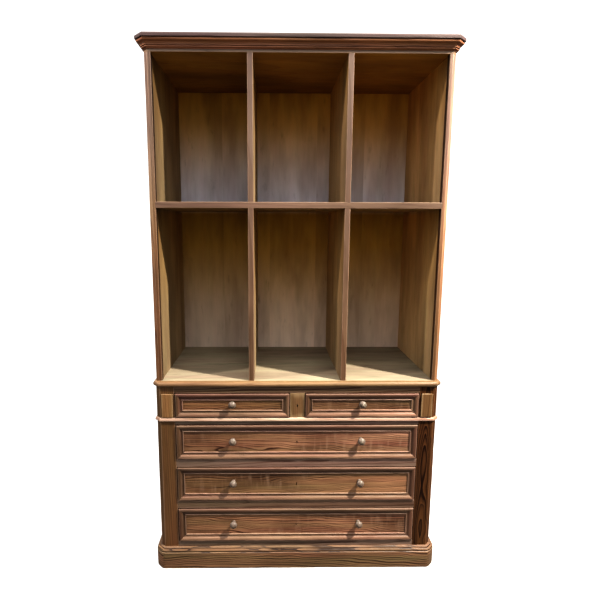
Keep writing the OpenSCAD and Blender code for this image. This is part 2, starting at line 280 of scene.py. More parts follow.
def board(mesh, lo, hi, along, r=1.2 * MM, **kind):
    """A board that fills the box lo to hi, with its grain along axis 0, 1 or 2."""
    across, through = [i for i in range(3) if i != along]
    axes, half = np.eye(3), (hi - lo) / 2
    u, v = half[across], half[through]
    outline = shouldered(rounded([(-u, -v), (u, -v), (u, v), (-u, v)], r))
    origin = (lo + hi) / 2 - axes[along] * half[along]
    prism(mesh, outline, origin, axes[across], axes[through], axes[along], 2 * half[along], **kind)


def one_board(node, material, slot, along, **kind):
    """A piece of the cabinet's body that is one board."""
    mesh = Mesh()
    board(mesh, low(node), high(node), along, **kind)
    mesh.make(f"worn_{node}", material, BODY, slot, node)


def plan(front, back, cant, out):
    """Corners of the cabinet's plan, pushed out on its front and sides, from left back to right back."""
    w, f = HALF_W + out, front - out
    c = cant + out * (2 - math.sqrt(2))
    return np.array([(-w, back), (-w, f + c), (-w + c, f), (w - c, f), (w, f + c), (w, back)])


def slab(node, material, slot, edge, front, cant, seed, tone, finish=1.0, pith=(0.0, -0.3), wear=1.2 * MM):
    """A flat board with that edge, [out, height], round its front, cants and sides; grain along X."""
    back = high(node)[1]
    profile = np.array(edge)
    bend = np.zeros(len(profile))
    bend[1:-1] = bending(profile)[1:-1]
    corners = plan(front, back, cant, 0)
    pieces = [max(2, int(np.linalg.norm(q - p) / 0.03)) for p, q in zip(corners, corners[1:])] + [24]
    co, grain, look = [], [], []
    for (out, height), worn in zip(profile, np.clip(bend * EDGE_GAIN, 0, 1)):
        ends = plan(front, back, cant, out)
        sides = zip(ends, np.roll(ends, -1, 0), pieces)
        ring = np.concatenate([p + (q - p) * np.arange(k)[:, None] / k for p, q, k in sides])
        depth = wear * worn * np.clip(0.25 + ripple(np.arange(len(ring)) * 0.031 + seed, seed), 0, 1)
        away = ring - [0, (front + back) / 2]
        away /= np.maximum(np.linalg.norm(away, axis=1), 1e-9)[:, None]
        ring = ring - away * depth[:, None]
        ring[:, 1] = np.minimum(ring[:, 1], back)
        z = np.full(len(ring), height)
        co.append(np.column_stack([ring, z]))
        grain.append(np.column_stack([ring[:, 0] + TRUNK_STEP * seed, ring[:, 1] - pith[0], z - pith[1]]))
        done = finish(out, height) if callable(finish) else finish
        look.append(np.tile([worn, done, 0.0], (len(ring), 1)))
    mesh = Mesh()
    mesh.add(co, grain, look, tone)
    mesh.make(f"worn_{node}", material, BODY, slot, node)


def moulding(mesh, profile, front, cant, run, seed, tone):
    """One mitred length of a moulding round the cabinet. run 0 to 4 goes from the left side to the right."""
    a, b = plan(front, BACK, cant, 0)[run : run + 2]
    length = np.linalg.norm(b - a)
    el = np.append(unit(b - a), 0)
    out = np.array([el[1], -el[0], 0])
    tan = math.tan(math.radians(22.5))
    hair = 0.15 * MM
    prism(
        mesh, profile, np.append(a, 0) + el * hair, out, Z, el, length - 2 * hair,
        slope=(0.0 if run == 0 else -tan, 0.0 if run == 4 else tan), seed=seed, tone=tone,
        wear=0.7 * MM, wear_gain=BEND_GAIN, step=0.012 if length < 0.2 else 0.02,
        pith=(-0.05, np.mean(np.array(profile)[:, 1]) - 0.03),
    )


def round_path(front, cant, inset):
    """The plan's front and sides as (point, normal, way along) with a fan of normals at each corner."""
    corners = plan(front, BACK, cant, -inset)
    path, way = [], 0.0
    for i, (a, b) in enumerate(zip(corners, corners[1:])):
        el = unit(b - a)
        out = np.array([el[1], -el[0]])
        if i:
            for share in (0.2, 0.4, 0.6, 0.8):
                path.append((a, unit(before * (1 - share) + out * share), way + 0.02 * share))
            way += 0.02
        length = np.linalg.norm(b - a)
        for d in np.linspace(0, length, max(2, int(length / 0.02) + 1)):
            path.append((a + el * d, out, way + d))
        way += length
        before = out
    return path


def wrapped(mesh, profile, path, inset, seed, tone):
    """A moulding bent round that path, with its wear."""
    outline = counter_clockwise(np.array(profile, float))
    normal, bend = outward(outline), bending(outline)
    edge, hollow = np.clip(bend * BEND_GAIN, 0, 1), np.clip(-bend * BEND_GAIN, 0, 1)
    pith = (-0.05, outline[:, 1].mean() - 0.14)
    u, v = outline.T
    co, grain, look = [], [], []
    for point, out, way in path:
        worn = MM * edge * np.clip(0.3 + ripple(way + seed, seed + 90 * u + 70 * v), 0, 1)
        uv = outline - normal * worn[:, None]
        co.append(np.column_stack([point + (uv[:, :1] + inset) * out, uv[:, 1]]))
        grain.append(np.column_stack([np.full(len(uv), way + TRUNK_STEP * seed), uv - pith]))
        look.append(np.column_stack([edge, np.ones(len(uv)), hollow]))
    mesh.add(co, grain, look, tone)


# ---- materials ----


def linear(r, g, b):
    """An sRGB colour, 0 to 255, as linear RGBA."""
    return tuple(
        (c / 255 / 12.92 if c <= 10.3 else ((c / 255 + 0.055) / 1.055) ** 2.4) for c in (r, g, b)
    ) + (1.0,)


class Shade:
    """A short way to write a node material."""

    def __init__(self, name):
        self.material = bpy.data.materials.new(name)
        self.material.use_nodes = True
        self.tree = self.material.node_tree
        self.tree.nodes.clear()

    def node(self, kind, inputs=(), **settings):
        made = self.tree.nodes.new(kind)
        for key, value in settings.items():
            setattr(made, key, value)
        for socket, value in dict(inputs).items():
            self.put(made.inputs[socket], value)
        return made

    def put(self, socket, value):
        if isinstance(value, bpy.types.NodeSocket):
            self.tree.links.new(value, socket)
        else:
            socket.default_value = value

    def math(self, operation, a, b=0.0, c=0.0, clamp=False):
        inputs = {0: a, 1: b, 2: c}
        return self.node("ShaderNodeMath", inputs, operation=operation, use_clamp=clamp).outputs[0]

    def times(self, a, b, clamp=False):
        return self.math("MULTIPLY", a, b, clamp=clamp)

    def fused(self, a, b, c, clamp=False):
        """a times b, plus c."""
        return self.math("MULTIPLY_ADD", a, b, c, clamp)

    def vector(self, x, y, z):
        return self.node("ShaderNodeCombineXYZ", {0: x, 1: y, 2: z}).outputs[0]

    def scaled(self, vector, by):
        return self.node("ShaderNodeVectorMath", {0: vector, 1: by}, operation="MULTIPLY").outputs[0]

    def split(self, vector):
        return self.node("ShaderNodeSeparateXYZ", {0: vector}).outputs[:]

    def attribute(self, name):
        return self.node("ShaderNodeAttribute", attribute_name=name).outputs["Vector"]

    def noise(self, vector, scale=1.0, detail=2.0, rough=0.5):
        inputs = {"Vector": vector, "Scale": scale, "Detail": detail, "Roughness": rough}
        return self.node("ShaderNodeTexNoise", inputs).outputs["Fac"]

    def line_noise(self, w, scale):
        inputs = {"W": w, "Scale": scale, "Detail": 1.0}
        return self.node("ShaderNodeTexNoise", inputs, noise_dimensions="1D").outputs["Fac"]

    def ramp(self, value, stops):
        made = self.node("ShaderNodeValToRGB", {0: value})
        elements = made.color_ramp.elements
        while len(elements) < len(stops):
            elements.new(1.0)
        for element, (place, level) in zip(elements, stops):
            element.position = place
            element.color = (level, level, level, 1)
        return made.outputs["Color"]

    def between(self, value, start, end, low=0.0, high=1.0):
        inputs = {"Value": value, "From Min": start, "From Max": end, "To Min": low, "To Max": high}
        return self.node("ShaderNodeMapRange", inputs, interpolation_type="SMOOTHSTEP").outputs["Result"]

    def mix(self, share, a, b, blend="MIX"):
        inputs = {"Factor": share, "A": a, "B": b}
        return self.node("ShaderNodeMix", inputs, data_type="RGBA", blend_type=blend).outputs["Result"]

    def done(self, colour, rough, height, strength, distance, specular=0.5, metallic=0.0):
        shader = self.node("ShaderNodeBsdfPrincipled", {"Base Color": colour, "Roughness": rough})
        shader.inputs["Specular IOR Level"].default_value = specular
        shader.inputs["Metallic"].default_value = metallic
        relief = self.node("ShaderNodeBump", {"Height": height, "Strength": strength, "Distance": distance})
        self.put(shader.inputs["Normal"], relief.outputs[0])
        out = self.node("ShaderNodeOutputMaterial")
        self.tree.links.new(shader.outputs[0], out.inputs[0])
        return self.material


BARE = ((166, 139, 98), (138, 104, 66))


def pine(
    name, waxed, bare=BARE, ring=7, sway=14, contrast=1.0, fibre=0.5, blotch=0.35, worn=(215, 180, 145),
    dirt=(38, 22, 12), rough=(0.48, 0.8), dust=0.0, specular=0.3, rubbed=0.35, grimy=0.5, taper=0.02,
    dark_share=1.3, wavy=0.45, streak=0.8, drifting=0.3, smear=0.0, cad=None,
):
    """Pitch pine. waxed and bare are (early wood, late wood) colours of the finished and the raw wood.

    ring is the width of a year ring and sway how far the rings waver, in mm; taper is how fast
    they slant to the surface along the board. rubbed and grimy are how much of the worn and dirt
    colours the edges and hollows take. dark_share below 1 widens the dark late wood. wavy is
    how much the rings waver over a hand's width; streak and drifting are how strong the soft
    streaks and the drift from red to yellow are; smear is for pale marks across the grain.
    cad is None for boards with attributes, or the grain axis of a CAD node that has none.
    """
    s = Shade(name)
    if cad is None:
        grain = s.attribute("grain")
        wear, finish, hollow = s.split(s.attribute("look"))
        bright, warm, bold = s.split(s.attribute("tone"))
    else:
        at = s.split(s.node("ShaderNodeTexCoord").outputs["Object"])
        order = {"x": (0, 1, 2), "y": (1, 2, 0), "z": (2, 0, 1)}[cad]
        grain = s.vector(at[order[0]], s.math("ADD", at[order[1]], 0.31), at[order[2]])
        wear, finish, hollow = 0.0, 0.0, 0.0
        bright, warm, bold = 1.0, 0.0, 1.0
    along, across, through = s.split(grain)

    # year rings round the pith, which wavers and tapers along the trunk
    drift = s.noise(s.scaled(grain, (1.4, 7, 7)), detail=2)
    waver = s.noise(s.scaled(grain, (6.5, 22, 22)), detail=1)
    radius = s.math("SQRT", s.math("ADD", s.times(across, across), s.times(through, through)))
    radius = s.fused(along, taper, radius)
    radius = s.fused(drift, 2 * sway * MM, radius)
    radius = s.fused(waver, wavy * sway * MM, radius)
    phase = s.math("DIVIDE", radius, ring * MM)
    phase = s.fused(s.line_noise(radius, 42.0), 1.6, phase)
    place = s.math("FRACT", phase)
    whole = {"W": s.math("FLOOR", phase)}
    year = s.node("ShaderNodeTexWhiteNoise", whole, noise_dimensions="1D").outputs["Value"]
    late = s.ramp(place, [(0.0, 0.0), (0.45, 0.06), (0.74, 0.34), (0.9, 1.0), (0.97, 0.9), (1.0, 0.0)])
    late = s.math("POWER", late, dark_share)
    strength = s.fused(year, 0.6, 0.4)
    late = s.times(s.times(late, strength), s.times(bold, contrast), clamp=True)

    threads = s.noise(s.scaled(grain, (16, 620, 620)), detail=3, rough=0.6)
    streaks = s.noise(s.scaled(grain, (6, 150, 150)), detail=3, rough=0.6)
    hue = s.math("SUBTRACT", s.noise(s.scaled(grain, (1.3, 24, 24)), detail=3, rough=0.55), 0.5)
    clouds = s.noise(s.scaled(grain, (2.1, 9, 9)), detail=3, rough=0.55)
    grime = s.noise(s.scaled(grain, (9, 34, 34)), detail=4, rough=0.62)
    uneven = s.math("SUBTRACT", grime, 0.5)

    # bare wood and wax meet along a ragged line
    ragged = s.fused(uneven, 0.7, finish)
    coat = s.between(ragged, 0.4, 0.6)
    wax_colour = s.mix(late, linear(*waxed[0]), linear(*waxed[1]))
    bare_colour = s.mix(late, linear(*bare[0]), linear(*bare[1]))
    colour = s.mix(coat, bare_colour, wax_colour)

    # cloudy colour drift, warmer or yellower boards, fine fibres
    cloudy = s.times(s.between(clouds, 0.3, 0.72), blotch)
    colour = s.mix(cloudy, colour, linear(92, 52, 32), "MULTIPLY")
    shade = s.fused(s.math("SUBTRACT", threads, 0.5), fibre, 1.0)
    shade = s.fused(s.math("SUBTRACT", streaks, 0.5), streak, shade)
    shade = s.times(shade, bright)
    redder = s.fused(warm, 0.12, s.fused(hue, drifting, 1.0))
    greener = s.fused(hue, -drifting, 1.0)
    bluer = s.math("MAXIMUM", s.fused(warm, -0.28, 1.0), 0.15)
    tint = s.vector(s.times(shade, redder), s.times(shade, greener), s.times(shade, bluer))
    colour = s.mix(1.0, colour, tint, "MULTIPLY")

    if smear:
        marks = s.noise(s.scaled(grain, (55, 12, 12)), detail=3)
        pale = s.times(s.between(marks, 0.45, 0.75), s.between(clouds, 0.42, 0.7))
        colour = s.mix(s.times(pale, smear), colour, linear(*worn))

    # edges rubbed light, hollows dark, stains, and dust on what faces up
    rub = s.fused(uneven, 1.5, wear)
    rub = s.times(s.between(rub, 0.35, 1.0), rubbed)
    colour = s.mix(s.times(rub, coat), colour, linear(*worn))
    filth = s.fused(s.between(grime, 0.58, 0.8), 0.3, s.times(hollow, grimy), clamp=True)
    colour = s.mix(filth, colour, linear(*dirt))
    if dust:
        up = s.split(s.node("ShaderNodeNewGeometry").outputs["Normal"])[2]
        settled = s.times(s.between(up, 0.25, 0.95), s.between(clouds, 0.2, 0.75, 0.45, 1.0))
        colour = s.mix(s.times(settled, dust), colour, linear(176, 164, 156))

    gloss = s.fused(coat, rough[0] - rough[1], rough[1])
    gloss = s.fused(uneven, 0.3, gloss)
    gloss = s.fused(late, -0.08, gloss, clamp=True)
    relief = s.fused(threads, 0.5, s.times(late, 0.6))
    relief = s.fused(grime, 0.8, relief)
    return s.done(colour, gloss, relief, strength=0.45, distance=0.5 * MM, specular=specular)


def iron(name):
    s = Shade(name)
    at = s.node("ShaderNodeTexCoord").outputs["Object"]
    rust = s.noise(at, 90, 4, 0.65)
    pits = s.noise(at, 600, 3, 0.6)
    colour = s.mix(s.between(rust, 0.45, 0.7), linear(46, 42, 38), linear(96, 58, 34))
    colour = s.mix(s.between(pits, 0.6, 0.8), colour, linear(20, 17, 15))
    rough = s.between(rust, 0.35, 0.7, 0.42, 0.8)
    return s.done(colour, rough, pits, strength=0.5, distance=0.3 * MM, metallic=0.85)


def pale_floor(name):
    """A near-white studio floor that glows a little, and fades into the backdrop further out."""
    s = Shade(name)
    at = s.node("ShaderNodeTexCoord").outputs["Object"]
    away = s.node("ShaderNodeVectorMath", {0: at}, operation="LENGTH").outputs["Value"]
    seen = s.node("ShaderNodeLightPath").outputs["Is Camera Ray"]
    paint = s.mix(s.noise(at, 3.0, 3), linear(238, 237, 235), linear(243, 242, 241))
    paint = s.mix(seen, linear(112, 108, 104), paint)
    matt = s.node("ShaderNodeBsdfDiffuse", {"Color": paint}).outputs[0]
    glow = s.node("ShaderNodeEmission", {"Color": (1, 1, 1, 1), "Strength": 1.0}).outputs[0]
    share = s.times(s.between(away, 1.0, 3.2, 0.62, 1.0), seen)
    both = s.node("ShaderNodeMixShader", {0: share, 1: matt, 2: glow}).outputs[0]
    out = s.node("ShaderNodeOutputMaterial")
    s.tree.links.new(both, out.inputs[0])
    return s.material


POST = pine("patinated pine", ((116, 90, 70), (68, 42, 28)), worn=(150, 126, 106))
BOLD = pine(
    "bold pine", ((122, 84, 52), (34, 16, 8)), ring=5, sway=22, contrast=1.8, worn=(116, 84, 58), taper=0.05,
    dark_share=0.24, wavy=1.0, drifting=0.1, specular=0.15,
)
RAIL = pine("rail pine", ((116, 96, 84), (72, 47, 36)), ring=8, sway=16, worn=(144, 120, 106))
FIELD = pine(
    "drawer pine", ((144, 112, 84), (64, 38, 25)), sway=24, contrast=1.7, blotch=0.75,
    worn=(160, 134, 112), taper=0.03, wavy=1.1, drifting=0.35, smear=0.3,
)
PLINTH = pine(
    "plinth pine", ((126, 98, 72), (42, 22, 11)), ring=8, sway=24, contrast=1.8, blotch=0.5,
    worn=(146, 124, 106), taper=0.03, wavy=1.0, drifting=0.5, rubbed=0.25,
)
BEAD = pine(
    "moulding pine", ((108, 84, 69), (74, 52, 42)), ring=6, sway=6, worn=(158, 134, 120), rubbed=0.25,
    specular=0.2, drifting=0.4,
)
HONEY = pine(
    "honey pine", ((124, 99, 72), (88, 62, 42)), ((148, 138, 118), (124, 111, 93)), sway=9,
    worn=(158, 138, 108), streak=0.5, drifting=0.2,
)
BELT = pine("belt pine", ((170, 146, 128), (132, 106, 86)), sway=9, worn=(172, 150, 132), specular=0.1)
CORNICE = pine(
    "cornice pine", ((150, 102, 72), (98, 60, 38)), ring=6, sway=6, dust=0.25, worn=(156, 116, 94),
    grimy=0.3, rubbed=0.3,
)
CROWN = pine(
    "crown pine", ((90, 73, 69), (68, 50, 46)), ring=6, sway=6, dust=0.3, worn=(92, 76, 72), rubbed=0.2
)
RAW = pine(
    "raw pine", ((118, 94, 76), (78, 52, 38)), ring=9, sway=12, contrast=0.5, blotch=0.4,
    worn=(146, 122, 102), rubbed=0.5, streak=0.35, drifting=0.1,
)
PANEL = pine(
    "back pine", ((150, 118, 88), (110, 80, 58)), ((172, 154, 134), (158, 138, 116)), ring=14, sway=30,
    contrast=0.15, fibre=0.2, blotch=0.4, streak=0.1, drifting=0.05,
)
INNER_WAXED = ((158, 112, 72), (104, 62, 36))
INNER_KIND = {"ring": 8, "contrast": 0.8, "streak": 0.4, "drifting": 0.1}
INNER = pine("inner pine", INNER_WAXED, ((190, 160, 118), (156, 120, 78)), **INNER_KIND)
KNOB = pine(
    "turned knob", ((106, 95, 87), (72, 60, 52)), ring=15, sway=15, contrast=0.9, blotch=0.5,
    rough=(0.4, 0.4), dirt=(40, 28, 22), worn=(140, 130, 122), rubbed=0.5,
)
INNER_CAD = {
    axis: pine(f"inner pine {axis}", INNER_WAXED, ((186, 156, 112), (152, 116, 74)), cad=axis, **INNER_KIND)
    for axis in "xyz"
}
IRON = iron("old iron")

# ---- the shelving case ----

BODY = "carcass"

FLOOR_Z = float(high("chest_top")[2])
SHELF_Z, SHELF_TOP = float(low("middle_shelf")[2]), float(high("middle_shelf")[2])
CEILING_Z = float(low("case_top")[2])

COLUMNS = (-0.35, 0.0, 0.35)  # middles of the columns of compartments
PLAIN = (1.0, 0.0, 1.0)
OUTSIDE_TONE = (0.75, 0.5, 1.8)
EDGE_BRIGHT = ((0.9, 1.9), (0.95, 1.1))
EDGE_WARM = ((0.9, 1.9), (0.4, -0.6))


def inside_tone(bright, warm, depth=((0, 1), (1, 1)), edge=1.0, painted_cool_light=0.0, upper=(1, 1, 1), lower=(1, 1, 1)):
    """Tone of the compartments' sides and backs, with painted shade and light: browner towards the top of each
    (painted shade under the roof and the shelf), greyer lower down (painted cool light).

    depth gives the painted brightness by the distance behind the case's front, and edge that of the front
    edge; upper and lower are the painted brightness of the left, middle and right of the two rows of
    compartments; painted_cool_light is the painted cool light at the foot of the upper row.
    """

    def tone(co):
        z = co[:, 2]
        above = z > SHELF_Z
        foot, head = np.where(above, SHELF_TOP, FLOOR_Z), np.where(above, CEILING_Z, SHELF_Z)
        rise = np.clip((z - foot) / (head - foot), 0, 1)
        x, behind = co[:, 0], co[:, 1] - CASE_FRONT
        column = np.where(above, np.interp(x, COLUMNS, upper), np.interp(x, COLUMNS, lower))
        # painted light and shade: brightness by height, by distance behind the front and by column; browner
        # towards the top and cooler at the foot of the upper row
        level = np.interp(rise, *bright) * np.interp(behind, *depth) * column
        hue = np.interp(rise, *warm) - painted_cool_light * above * (1 - rise)
        front = behind < MM
        outside = ~front & ((np.abs(x) > HALF_W - 2 * MM) | (co[:, 1] > BACK - 2 * MM))
        level = np.select([front, outside], [edge * np.interp(z, *EDGE_BRIGHT), OUTSIDE_TONE[0]], level)
        hue = np.select([front, outside], [np.interp(z, *EDGE_WARM), OUTSIDE_TONE[1]], hue)
        return np.stack([level, hue, np.where(outside, OUTSIDE_TONE[2], 1)], 1)

    return tone


# Painted shade and light on the sides and dividers: browner towards the top of each compartment, darker near the
# front where the lamps light a strip, and lighter in the right-hand column.
WALL_TONE = inside_tone(
    ((0, 1), (1.0, 1.0)), ((0, 0.4, 0.8, 1), (-0.9, -0.5, 0.5, 1.1)),
    ((0, 0.05, 0.2, 0.45), (0.5, 0.55, 1.0, 1.2)), 0.8, upper=(1.0, 1.0, 1.5), lower=(1.1, 1.1, 1.5),
)


def post(node, front, width, cant, material, **kind):
    """A front post with its canted corner, as high as its node."""
    s = SIDES[node.rsplit("_", 1)[1]]
    lo, hi = low(node), high(node)
    inner, corner, outer = s * (HALF_W - width), s * (HALF_W - cant), s * HALF_W
    points = [(outer, hi[1]), (outer, front + cant), (corner, front), (inner, front), (inner, hi[1])]
    outline = shouldered(rounded(points, np.array([0.4, 1.6, 1.6, 1.6, 0.4]) * MM), 5 * MM)
    mesh = Mesh()
    prism(mesh, outline, np.array([0, 0, lo[2]]), X, Y, Z, hi[2] - lo[2], **kind)
    mesh.make(f"worn_{node}", material, BODY, "patinated_pine", node)


def post_tone(width, cant, front, bright, warm, cant_painted_light=1.0):
    """Tone of a post by height, dark on the side that faces the other post, with painted light on the cant."""

    def tone(co):
        z = co[:, 2]
        inner = (np.abs(co[:, 0]) < HALF_W - width + 0.3 * MM) & (co[:, 1] > front + 1.2 * MM)
        canted = (np.abs(co[:, 0]) > HALF_W - cant) & (co[:, 1] < front + cant)
        # the cant is painted lighter: painted light on the corner facet
        level = np.where(inner, 0.25, np.interp(z, *bright)) * np.where(canted, cant_painted_light, 1)
        return np.stack([level, np.interp(z, *warm), np.full(len(z), 0.8)], 1)

    return tone


def half_depth(node):
    return (high(node) - low(node))[1] / 2


# The last number of each is the painted light on the cant.
CASE_POST_TONE = post_tone(
    CASE_POST_W, CASE_CANT, CASE_FRONT,
    ((0.9, 1.3, 1.7), (0.68, 0.85, 1.2)), ((0.9, 1.4, 1.8), (0.9, 0.6, -0.8)), 1.6,
)
BOLD_TONE = post_tone(CHEST_POST_W, CHEST_CANT, CHEST_FRONT, ((0, 1), (0.66, 0.66)), ((0, 1), (0.2, 0.2)), 1.3)
CHEST_POSTS = {
    "left": (POST, (-0.8, CHEST_FRONT), (0.6, 1.1, 0.9)),
    "right": (BOLD, (0.528, CHEST_FRONT + 0.018), BOLD_TONE),
}
for side, s in SIDES.items():
    post(
        f"case_post_{side}", CASE_FRONT, CASE_POST_W, CASE_CANT, POST,
        pith=(s * 0.62, CASE_FRONT - 0.03), seed=1.3 + s, tone=CASE_POST_TONE,
    )
    material, pith, tone = CHEST_POSTS[side]
    post(
        f"chest_post_{side}", CHEST_FRONT, CHEST_POST_W, CHEST_CANT, material,
        pith=pith, seed=4.1 + s, tone=tone,
    )
    for node, tone in ((f"case_side_{side}", WALL_TONE), (f"chest_side_{side}", OUTSIDE_TONE)):
        one_board(
            node, RAW, "raw_pine", 2, r=0.6 * MM, pith=(s * 0.05, 0.1), seed=7.7 + s + low(node)[2],
            tone=tone, finish=lambda u, v, s=s: (s * u > 0).astype(float),
        )
    for node in (f"lower_divider_{side}", f"upper_divider_{side}"):
        one_board(
            node, RAW, "raw_pine", 2, r=1.5 * MM, pith=(-0.06, 0.05 * s), seed=11.2 + 1.7 * s + low(node)[2],
            tone=WALL_TONE, finish=lambda u, v, d=half_depth(node): (v < WAX_DEPTH - d).astype(float),
        )
one_board(
    "middle_shelf", RAW, "raw_pine", 0, r=1.6 * MM, pith=(0.02, -0.09), seed=21.0,
    tone=inside_tone(((0, 1), (1, 1)), ((0, 1), (0, 0)), edge=0.85),
    finish=lambda u, v, d=half_depth("middle_shelf"): (u < WAX_DEPTH - d).astype(float),
)

PLANKS = 5
for node, seed in (("case_back_boards", 31.0), ("chest_back_boards", 41.0)):
    mesh = Mesh()
    lo, hi = low(node), high(node)
    width = (hi - lo)[0] / PLANKS
    for i in range(PLANKS):
        a, b = lo.copy(), hi.copy()
        a[0], b[0] = lo[0] + i * width, lo[0] + (i + 1) * width
        board(
            mesh, a, b, 2, r=0.3 * MM, wear=0.0, pith=(0.03 * math.sin(3 * i + seed), -0.06 - 0.01 * i),
            seed=seed + 2.3 * i,
            # Painted light and shade on the backs: brighter and cooler lower down, darker and browner towards the
            # top of each row, brighter in the middle column.
            tone=inside_tone(
                ((0, 0.5, 1), np.array([2.15, 1.6, 1.2]) + 0.04 * math.sin(5 * i)),
                ((0, 0.3, 0.5, 0.75, 1), (-0.4, 0.1, 1.0, 2.4, 2.9)),
                painted_cool_light=1.5, upper=(1.03, 1.14, 0.92), lower=(0.8, 1.05, 0.74),
            ),
            finish=lambda u, v: (v > 0).astype(float),
        )
    mesh.make(f"worn_{node}", PANEL, BODY, "back_pine", node)

ROOF_Z, ROOF_TOP = low("case_top")[2], high("case_top")[2]
EASE = 0.8 * MM
roof_edge = [(-EASE, ROOF_Z), (0.0, ROOF_Z + EASE), (0.0, ROOF_TOP - EASE), (-EASE, ROOF_TOP)]
# Behind its front edge the case top, the ceiling of the upper compartments, is painted browner: painted shade
# under the roof.
slab(
    "case_top", RAW, "inner_pine", roof_edge, CASE_FRONT, CASE_CANT, 27.0,
    lambda co: np.where(co[:, 1:2] < CASE_FRONT + 0.5 * MM, [[0.7, 0.0, 1.0]], [[0.84, 1.9, 1.0]]),
    finish=lambda out, height: 1.0 if out > -EASE / 2 else 0.0,
    wear=0.3 * MM,
)

# cornice: crown board with a rounded upper edge, and the moulding under it
CROWN_Z, CROWN_TOP = low("crown_board")[2], high("crown_board")[2]
CROWN_OUT = -(low("crown_board")[1] - CASE_FRONT)
EDGE_R = 7 * MM
crown_edge = [(0.0, CROWN_Z), (CROWN_OUT - 1.5 * MM, CROWN_Z), (CROWN_OUT, CROWN_Z + 1.5 * MM)]
crown_edge += [(CROWN_OUT, CROWN_Z + 5 * MM)]
crown_edge += arc((CROWN_OUT - EDGE_R, CROWN_TOP - EDGE_R), EDGE_R, 0, 90, 8)
crown_edge += [(0.0, CROWN_TOP)]
slab("crown_board", CROWN, "cornice_pine", crown_edge, CASE_FRONT, CASE_CANT, 51.0, PLAIN)

cornice_profile = np.array(
    [(0, 0)]
    + arc((7, 0), 4, 180, 90, 6)
    + arc((7, 6.5), 2.5, -75, 60, 6)
    + [(8, 10.5), (12, 10.5), (12, 14)]
    + arc((21, 14), 8, 180, 100, 8)
    + arc((19.5, 28), 6, -70, 35, 8)
    + [(24, 32), (0, 32)]
) * MM + [0, low("cornice_front")[2]]


def mouldings(name, profile, front, cant, material, slot, seed, tones):
    """The front length as one piece, and the four lengths at the corners and sides as another."""
    for part, runs, step in (("front", (2,), 0), ("returns", (0, 1, 3, 4), 1)):
        mesh = Mesh()
        for run in runs:
            moulding(mesh, profile, front, cant, run, seed + step * run, tones[run])
        mesh.make(f"worn_{name}_{part}", material, BODY, slot, f"{name}_{part}")


mouldings("cornice", cornice_profile, CASE_FRONT, CASE_CANT, CORNICE, "cornice_pine", 61.0, [PLAIN] * 5)

# ---- the chest ----

TOP_Z, TOP_TOP = low("chest_top")[2], high("chest_top")[2]
NOSE_OUT = -(low("chest_top")[1] - CHEST_FRONT)
nose_r = (TOP_TOP - TOP_Z) / 2
top_edge = [(-12 * MM, TOP_Z)]
top_edge += arc((NOSE_OUT - nose_r, TOP_Z + nose_r), nose_r, -90, 90, 12)
top_edge += [(-20 * MM, TOP_TOP)]
# Painted light and shade: the chest top is painted brighter to the left and darker to the right, across the
# compartments' floors.
slab(
    "chest_top", HONEY, "honey_pine", top_edge, CHEST_FRONT, CHEST_CANT, 71.0,
    lambda co: np.column_stack(
        [np.interp(co[:, 0], (-0.4, 0.0, 0.4), (1.2, 1.0, 0.8)), np.zeros(len(co)), np.full(len(co), 0.8)]
    ),
    finish=lambda out, height: 1.0 if out > -15 * MM else 0.0,
    pith=(0.0, TOP_Z - 0.1),
)

BELT_Z, BELT_TOP = low("belt_front")[2], high("belt_front")[2]
BELT_OUT = -(low("belt_front")[1] - CHEST_FRONT)
belt_r = (BELT_TOP - BELT_Z) / 2
belt_profile = [(0, BELT_Z)] + arc((BELT_OUT - belt_r, BELT_Z + belt_r), belt_r, -80, -20, 6)
belt_profile += arc((BELT_OUT - belt_r - 1.5 * MM, BELT_TOP - belt_r), belt_r, 15, 75, 6) + [(0, BELT_TOP)]
# The side and corner lengths are painted darker than the front: painted shade on the sides.
belt_tones = [(0.65, 0.3, 1.0), (0.9, 0.1, 1.0), (1.0, 0.0, 1.0), (0.75, 0.2, 1.0), (0.55, 0.3, 1.0)]
mouldings("belt", belt_profile, CHEST_FRONT, CHEST_CANT, BELT, "honey_pine", 81.0, belt_tones)

BEAD_Z = PLINTH_H / MM - 18
plinth_profile = np.array(
    [(0, 0), (18.5, 0), (20, 1.5), (20, 12), (20, BEAD_Z - 10), (20, BEAD_Z - 1)]
    + [(18.8, BEAD_Z + 0.4), (17.4, BEAD_Z + 0.6)]
    + arc((12.5, BEAD_Z + 6), 6, -50, 90, 12)
    + [(10.4, BEAD_Z + 12), (9.4, BEAD_Z + 11.2)]
    + arc((6.2, BEAD_Z + 14.2), 2.6, -40, 100, 7)
    + [(4.5, BEAD_Z + 18), (0, BEAD_Z + 18)]
) * MM
CORNER = 8 * MM
whole = round_path(CHEST_FRONT, CHEST_CANT, CORNER)
facing = [math.degrees(math.atan2(out[0], -out[1])) for point, out, way in whole]
ends = [k for k, turn in enumerate(facing) if abs(turn) < 25]


def plinth_tone(co):
    """Darker on the bead along the top."""
    bead = co[:, 2] > PLINTH_H - 17 * MM
    return np.column_stack([np.where(bead, 0.85, 1.0), np.zeros(len(co)), np.full(len(co), 1.3)])


for part, lengths in (
    ("front", ((91.0, whole[ends[0] : ends[-1] + 1]),)),
    ("returns", ((92.0, whole[: ends[0] + 1]), (94.0, whole[ends[-1] :]))),
):
    mesh = Mesh()
    for seed, path in lengths:
        wrapped(mesh, plinth_profile, path, CORNER, seed, plinth_tone)
    mesh.make(f"worn_plinth_{part}", PLINTH, BODY, "patinated_pine", f"plinth_{part}")

